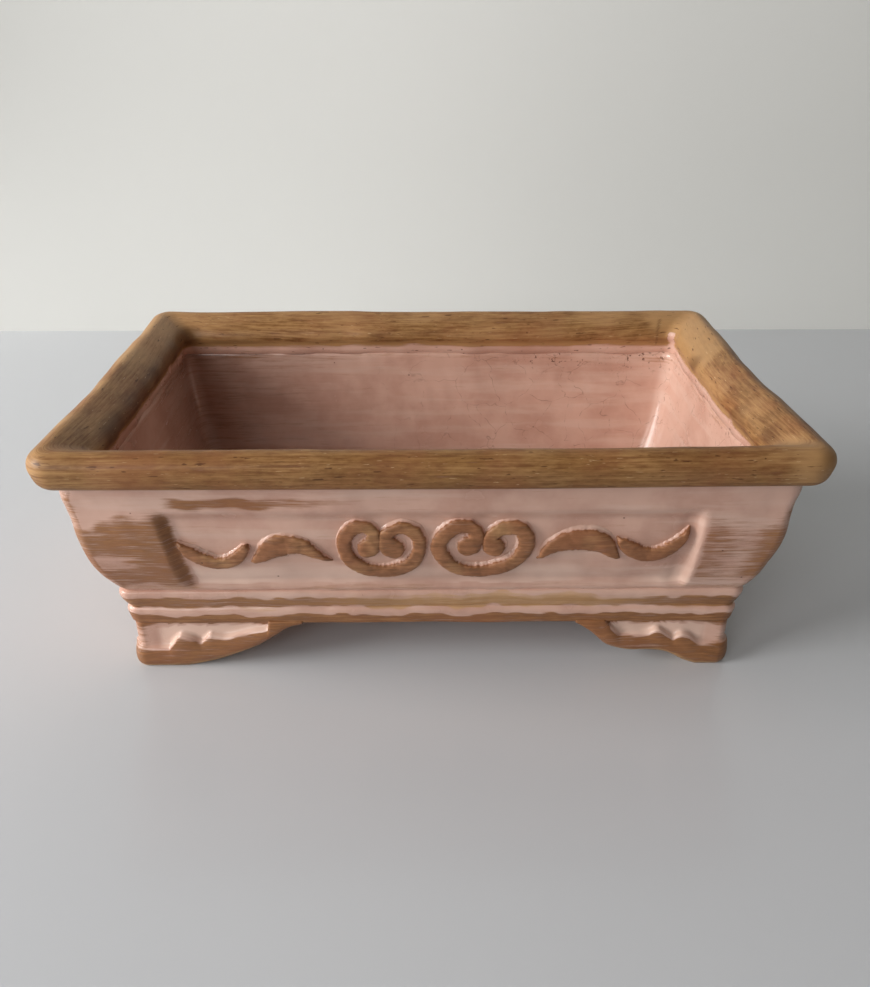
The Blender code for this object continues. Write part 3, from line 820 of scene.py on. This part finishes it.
def foot_section(lower, border, bulge, sunk):
    """Inset and height round a foot: sunk field, raised border, sole and back."""
    top = FOOT_TOP + 0.0001
    reach = max(top - lower, 0.0004)
    border = min(border, top)
    thick = max(border - lower, 0.0002)
    shoulder = min(border + min(0.0011, 0.25 * reach), top)
    recess = sunk * float(smoothstep(0.0, 0.0016, top - border))
    rows = []
    for t in np.linspace(0, 1, 6):
        rows.append((FOOT_FACE + recess, top + (shoulder - top) * t))
    for t in (0.3, 0.7, 1.0):
        rows.append((FOOT_FACE + recess * (1 - t), shoulder + (border - shoulder) * t))
    for t in np.linspace(0.1, 1, 9):
        dome = bulge * math.sin(math.pi * t) * min(thick / 0.006, 1)
        toe = min(0.0008, 0.3 * thick) * max((t - 0.75) / 0.25, 0) ** 2
        rows.append((FOOT_FACE - dome + toe, border + (lower - border) * t))
    rows.append((FOOT_INSET + 0.0022, lower))
    rows.append((FOOT_INSET + FOOT_WALL, lower))
    rows.append((FOOT_INSET + FOOT_WALL, top))
    return rows


def foot_stations(hand):
    """Stations round a foot: leg, distance or turn, height of the underside and of the border's edge."""
    high = FOOT_TOP / (FOOT_DRAWING * MM)
    arch = smooth_line([(s * MM, max(z, 0) * MM * high) for s, z in FOOT_ARCHES[hand]], 10)
    border = even_steps(smooth_line(np.array(FOOT_BORDERS[hand]) * MM, 8), 0.0002)
    tip = min(arch[-1, 1], FOOT_TOP - 0.0004)

    def border_at(s):
        return float(np.interp(s, border[:, 0], border[:, 1]))

    stations = []
    for s in np.arange(arch[-1, 0], FOOT_WALL + MM, -FOOT_STEP):
        lower = float(np.interp(s, arch[:, 0], arch[:, 1])) if s > arch[0, 0] else 0.0
        stations.append(("long_leg", s, min(max(lower, 0), tip), border_at(s)))
    for turn in np.linspace(90, 0, 13):
        stations.append(("turn", math.radians(turn), 0.0, border_at(CORNER_REACH)))
    for s in np.arange(FOOT_CORNER + FOOT_STEP, FOOT_RETURN, FOOT_STEP):
        t = min(max((s - FOOT_PAD) / (FOOT_RETURN - FOOT_PAD), 0), 1)
        lower = tip * t * t * (3 - 2 * t)
        scallop = 0.0072 + 0.0011 * abs(math.sin(s * 330)) + 0.012 * float(smoothstep(0.028, 0.036, s))
        edge = min(lower + scallop, FOOT_DRAWING * MM) if t > 0 else scallop + 0.001
        stations.append(("short_leg", s, lower, edge))
    return stations


def foot_points(stations, x_way, y_way):
    """The foot's sections, set round the corner that the two ways point to."""
    corner_x = HALF_LENGTH - FOOT_INSET
    corner_y = HALF_DEPTH - FOOT_INSET
    rows = []
    for kind, value, lower, edge in stations:
        section = []
        sunk = 0.0012
        if kind != "turn":
            sunk += 0.0008 * float(smoothstep(0.0055, 0.0090, value))
        for inset, z in foot_section(lower, edge, 0.0006, sunk):
            deeper = inset - FOOT_INSET
            radius = max(FOOT_CORNER - deeper, MM)
            x = corner_x - deeper
            y = corner_y - deeper
            if kind == "turn":
                x += radius * (math.cos(value) - 1)
                y += radius * (math.sin(value) - 1)
            elif kind == "long_leg":
                x = corner_x - value
            else:
                y = corner_y - value
            section.append((x_way * x, y_way * y, z))
        rows.append(section)
    return np.array(rows)


def make_foot(front, left):
    """An L-shaped bracket foot with a scalloped border along its lower edge."""
    hand = "left" if left else "right"
    y_way = -1 if front else 1
    stations = foot_stations(hand)
    points = foot_points(stations, -1 if left else 1, y_way)
    across = section_length(points)
    outer = np.arange(points.shape[1]) < FOOT_OUTER_ROWS
    seed = 40 + 2 * int(front) + int(left)
    points[..., 1] += waves(points, 0.012, seed) * 0.00012 * outer * y_way
    points[..., 2] = np.clip(points[..., 2], 0, None)

    z = points[..., 2]
    rows = [(CORNER_REACH if kind == "turn" else value, *rest) for kind, value, *rest in stations]
    from_corner, lowers, borders = np.array(rows).T[..., None]
    waver = waves(points, 0.010, seed + 10) * 0.0006
    on_border = smoothstep(borders + 0.0002, borders - 0.0004, z + 0.5 * waver)
    corner = 1 - smoothstep(0.004, 0.013, from_corner)
    near_top = band(0.0178, FOOT_TOP + 0.001, 0.0005, z + 0.5 * waver)
    near_sole = 1 - smoothstep(0.036, 0.052, from_corner)
    lowest = 1 - smoothstep(0.0006, 0.0018, z - lowers)
    stain = np.where(outer, 0.06 + 0.36 * corner + 0.76 * on_border, 0.35)
    stain = np.clip(stain + 0.7 * near_top * outer, 0, 0.9)
    # Painted light on the sunk field, away from the corner and the top
    stain = stain - 0.52 * (1 - on_border) * (1 - corner) * outer * (1 - near_top)
    ochre = 0.08 + 0.14 * on_border + 0.75 * lowest * near_sole
    coat = stack(stain, ochre, 0.05 * on_border)
    brush = stack(points[..., 0], points[..., 1], across)
    name = f"{'front' if front else 'back'}_{hand}_foot"
    add_piece(f"{name}_clay", points, grid_faces(points, False), coat, brush, "foot_stain", [name])


# -------------------- floor


DRAINS = (-0.055, 0.055)
DRAIN_SEGMENTS = 48
# Radius, and height over the floor, down a drain hole with soft edges
DRAIN_PROFILE = [
    (0.0078, 0.001), (0.0074, 0.0), (0.0066, -0.0004), (0.0062, -0.0010), (0.0060, -0.0018),
    (0.0060, -0.0066), (0.0064, -0.0072), (0.0070, -0.0085),
]


def add_drain_cutter(x, top):
    """The shape that a drain hole takes out of the slab."""
    verts = []
    for radius, drop in DRAIN_PROFILE:
        for k in range(DRAIN_SEGMENTS):
            turn = 2 * math.pi * k / DRAIN_SEGMENTS
            verts.append((x + radius * math.cos(turn), radius * math.sin(turn), top + drop))
    sides = []
    for start in range(0, len(verts) - DRAIN_SEGMENTS, DRAIN_SEGMENTS):
        under = start + DRAIN_SEGMENTS
        for k in range(DRAIN_SEGMENTS):
            after = (k + 1) % DRAIN_SEGMENTS
            sides.append((start + k, under + k, under + after, start + after))
    sides.append(tuple(range(DRAIN_SEGMENTS)))
    sides.append(tuple(range(len(verts) - DRAIN_SEGMENTS, len(verts)))[::-1])
    return new_object("drain", new_mesh("drain", verts, sides))


def make_floor():
    """The floor slab, its two drain holes rounded at the top."""
    low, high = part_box("floor_slab")
    edge = 0.0003  # the slab runs this far into the walls
    radius = WALL_CORNER
    outline = []
    for start in (0, 90, 180, 270):
        middle = math.radians(start + 45)
        x = math.copysign(high.x + edge - radius, math.cos(middle))
        y = math.copysign(high.y + edge - radius, math.sin(middle))
        for degrees in np.linspace(0, 90, 7):
            turn = math.radians(degrees + start)
            outline.append((x + radius * math.cos(turn), y + radius * math.sin(turn)))
    count = len(outline)
    points = [(x, y, low.z) for x, y in outline] + [(x, y, high.z) for x, y in outline]
    faces = [tuple(range(count))[::-1], tuple(range(count, 2 * count))]
    faces += [(k, (k + 1) % count, count + (k + 1) % count, count + k) for k in range(count)]
    slab = new_object("slab", new_mesh("slab", points, faces))
    cutters = [add_drain_cutter(x, high.z) for x in DRAINS]
    for cutter in cutters:
        drill = slab.modifiers.new("drill", "BOOLEAN")
        drill.object = cutter
        drill.solver = "EXACT"
    bpy.context.view_layer.update()
    cut = slab.evaluated_get(bpy.context.evaluated_depsgraph_get()).to_mesh()
    corners = np.array([v.co[:] for v in cut.vertices])
    cut_faces = [tuple(p.vertices) for p in cut.polygons]
    for extra in (*cutters, slab):
        bpy.data.objects.remove(extra)
    near_hole = np.min([np.hypot(corners[:, 0] - x, corners[:, 1]) for x in DRAINS], axis=0)
    stain = 0.35 * (1 - smoothstep(0.006, 0.010, near_hole)) + 0.08
    coat = stack(stain, 0.15, 0.1 * stain)
    piece = add_piece("floor", corners, cut_faces, coat, corners, "floor_glaze", ["floor_slab"])
    piece.data.set_sharp_from_angle(angle=math.radians(40))


# -------------------- ornament


def bell(width):
    """A bell-shaped blur that many samples wide."""
    kernel = np.exp(-(np.linspace(-2, 2, width) ** 2))
    return kernel / kernel.sum()


def rounded_line(drawn, wide, high):
    """Middle line and half width of a band, in metres, rounded off at both ends."""
    thick = min(wide, high)
    line = smooth_line([(x * MM * wide, z * MM * high, half * MM * thick) for x, z, half in drawn], 12)
    ends = []
    for end, beside in ((line[0], line[1]), (line[-1], line[-2])):
        way = (end[:2] - beside[:2]) / np.linalg.norm(end[:2] - beside[:2])
        rows = []
        for degrees in np.linspace(8, 86, 9):
            turn = math.radians(degrees)
            rows.append([*(end[:2] + way * end[2] * math.sin(turn)), end[2] * math.cos(turn)])
        ends.append(np.array(rows))
    return even_steps(np.vstack([ends[0][::-1], line, ends[1]]), 0.00030)


def ragged_edges(count, seed):
    """For both edges of a band: how far each step stands out, and how far the stain falls short."""
    random = np.random.default_rng(seed)
    teeth = np.zeros((2, count))
    bites = np.zeros((2, count))
    for edge in (0, 1):
        teeth[edge] = np.convolve(random.normal(size=count), bell(7), "same") * 0.00016
        bites[edge] = np.convolve(random.normal(size=count), [0.25, 0.5, 0.25], "same") * 0.028
        teeth[edge] += np.convolve(random.normal(size=count), bell(41), "same") * 0.00050
    return teeth, bites


# Across a band, from its middle: share of the half width, and height over the panel in mm
BAND_SHARES = [0.10, 0.30, 0.50, 0.64, 0.75, 0.84, 0.90, 0.94, 0.98, 1.02, 1.09, 1.20, 1.30]
BAND_RISE = [2.10, 2.08, 2.03, 1.95, 1.82, 1.62, 1.36, 1.02, 0.66, 0.36, 0.14, 0.00, -0.6]


def make_ornament(node, side, drawn, drawing, seed):
    """A raised band laid on a panel, its top stained and its steep edges ragged, glazed and paled with a
    painted highlight.
    """
    wide = 2 * panel_half_width(side, PANEL_BOTTOM) / drawing[0]
    high = (PANEL_TOP - PANEL_BOTTOM) / drawing[1]
    line = rounded_line(drawn, wide, high)
    count = len(line)
    way = np.gradient(line[:, :2], axis=0)
    way /= np.linalg.norm(way, axis=1)[:, None]
    teeth, bites = ragged_edges(count, seed)

    q = np.array([-share for share in BAND_SHARES[::-1]] + BAND_SHARES)
    rise = np.array(BAND_RISE[::-1] + BAND_RISE) * MM
    half = line[:, 2:3] + 0.00005 * smoothstep(0.0004, 0.0020, line[:, 2:3])
    edge_push = np.where(q < 0, teeth[0][:, None], teeth[1][:, None])
    edge_push = edge_push * smoothstep(0.35, 0.85, np.abs(q)) * smoothstep(0.0004, 0.0016, half)
    # The last two points close the band behind the panel's face
    reach = np.hstack([q * half + np.sign(q) * edge_push, half * (0.9, -0.9)])
    height = rise * np.where(rise > 0, smoothstep(0.0, 0.0013, half), 1.0)
    height = np.hstack([height, np.full((count, 2), -0.0009)])
    x = line[:, 0:1] - way[:, 1:2] * reach
    z = PANEL_MIDDLE + line[:, 1:2] + way[:, 0:1] * reach
    out = halves(side)[1] - wall_inset(z) - PANEL_RECESS + height
    points = place(side, x, out, z)
    lumps = waves(points, 0.006, seed + 1) * 0.00009 + waves(points, 0.0022, seed + 2) * 0.00004
    facing = np.array([*SIDES[side][1], 0])
    points = points + (lumps * (height > 0.0008))[..., None] * facing

    nibble = np.where(q < 0, bites[0][:, None], bites[1][:, None])
    on_top = np.hstack([1 - smoothstep(0.92, 0.97, np.abs(q) + nibble), np.zeros((count, 2))])
    fade = waves(points, 0.012, seed + 3)
    # The steep flanks off the stained top carry a painted highlight
    stain = 0.90 * on_top - 0.25 * (1 - on_top)
    ochre = 0.34 + 0.14 * fade * on_top
    dark = 0.06 * smoothstep(0.2, 1.0, fade) * on_top
    coat = stack(stain, ochre, dark)
    brush = stack(x + 0.2 * seed, 0.1 * seed, z)
    add_piece(f"{node}_clay", points, grid_faces(points, False), coat, brush, "scroll_stain", [node])


def fatten(drawn):
    """The scroll with a thicker stroke that grows inwards only."""
    middle = (min(x for x, _, _ in drawn) + max(x for x, _, _ in drawn)) / 2
    return [(middle + 0.970 * (x - middle) - 0.6, 0.966 * z, half + 0.36) for x, z, half in drawn]


def make_ornaments():
    """Six bands on the front and the back, where left is the viewer's left, and three on each end."""
    seed = 100
    other = {"left": "right", "right": "left"}
    for side in ("front", "back"):
        for drawn_side, pieces in LONG_ORNAMENT.items():
            towards = drawn_side if side == "front" else other[drawn_side]
            for piece, drawn in pieces.items():
                if piece == "scroll":
                    drawn = fatten(drawn)
                seed += 10
                make_ornament(f"{side}_{towards}_{piece}", side, drawn, LONG_DRAWING, seed)
    for side in ("left", "right"):
        scroll = [(x + END_SCROLL_SHIFT, z, half) for x, z, half in fatten(LEFT_SCROLL)]
        leaf = [(x + END_LEAF_SHIFT, z, half) for x, z, half in LEFT_INNER_LEAF]
        mirrored = [(-x, z, half) for x, z, half in leaf]
        front, back = (leaf, mirrored) if side == "right" else (mirrored, leaf)
        for kind, drawn in (("scroll", scroll), ("front_leaf", front), ("back_leaf", back)):
            seed += 10
            make_ornament(f"{side}_end_{kind}", side, drawn, END_DRAWING, seed)


# -------------------- stage, light and camera


def plain_look(name, colour, roughness, painted_shade_left=0.0):
    """A faintly uneven surface, with painted shade towards the left and the top, as deep as the last argument
    says.
    """
    look = Look(name)
    where = look.node("ShaderNodeTexCoord").outputs["Object"]
    faint = look.noise(where, 3.0, 2.0, 0.5)
    shade = look.mix(look.ramp(faint, 0.3, 0.7), colour, (*(c * 0.975 for c in colour[:3]), 1))
    spot = look.node("ShaderNodeSeparateXYZ", {0: where}).outputs
    sideways = look.ramp(spot[0], 0.05, -0.60, 0.0, painted_shade_left)
    painted_shade = look.times(sideways, look.ramp(spot[2], 0.0, 0.25, 0.45, 1.0))
    shade = look.mix(painted_shade, shade, (0, 0, 0, 1))
    return look.finished({"Base Color": shade, "Roughness": roughness})


def add_sheet(name, corners, look):
    """One flat sheet of the stage."""
    mesh = new_mesh(name, corners, [(0, 1, 2, 3)])
    mesh.materials.append(look)
    return new_object(name, mesh)


def make_stage():
    """A pale table with a pale wall close behind it."""
    back = 0.341
    wide = 2.5
    table = add_sheet(
        "table",
        [(-wide, -wide, 0), (wide, -wide, 0), (wide, back, 0), (-wide, back, 0)],
        plain_look("table_look", srgb(206, 209, 213), 0.22),
    )
    # The backdrop carries painted shade towards the left and the top
    wall = add_sheet(
        "backdrop",
        [(-wide, back, -0.01), (wide, back, -0.01), (wide, back, 2.2), (-wide, back, 2.2)],
        plain_look("backdrop_look", srgb(233, 234, 230), 0.85, 0.74),
    )


def add_lamp(name, position, target, size, power, colour):
    """A soft rectangular lamp that points at its target."""
    lamp = bpy.data.lights.new(name, "AREA")
    lamp.shape = "RECTANGLE"
    lamp.size, lamp.size_y = size
    lamp.energy = power
    lamp.color = colour
    holder = new_object(name, lamp)
    holder.location = position
    direction = np.array(target, float) - np.array(position, float)
    flat = math.hypot(direction[0], direction[1])
    holder.rotation_euler = (math.atan2(flat, -direction[2]), 0, math.atan2(-direction[0], direction[1]))


def make_light():
    """A window on the left, a weak fill from the front left and a little warm light from the room."""
    world = bpy.data.worlds.new("room")
    bpy.context.scene.world = world
    world.use_nodes = True
    background = world.node_tree.nodes["Background"]
    background.inputs["Color"].default_value = (1.0, 0.95, 0.89, 1)
    background.inputs["Strength"].default_value = 0.10
    add_lamp("window", (-1.27, -0.33, 0.54), (0, 0, 0.05), (0.9, 0.7), 24.5, (1.0, 0.98, 0.96))
    add_lamp("fill", (-0.65, -1.25, 0.70), (0, 0, 0.04), (0.6, 0.6), 5.5, (1.0, 0.98, 0.97))


def make_camera():
    """The lens of a phone, held a little over the pot."""
    camera = bpy.data.cameras.new("camera")
    camera.sensor_width = 36
    camera.lens = 31.8055  # mm on the 36 mm sensor
    camera.shift_x = 0.0040
    holder = new_object("camera", camera)
    # A little to the left of square on, so the pot's right end lies further off
    turn = -0.007
    reach = HALF_DEPTH + 0.2336
    holder.location = (reach * math.sin(turn), -reach * math.cos(turn), 0.2044)
    holder.rotation_euler = (math.radians(62), 0, turn)
    bpy.context.scene.camera = holder


make_walls()
make_rim()
make_plinth()
make_floor()
for front in (True, False):
    for left in (True, False):
        make_foot(front, left)
make_ornaments()
make_stage()
make_light()
make_camera()
bpy.context.scene.view_settings.view_transform = "Standard"
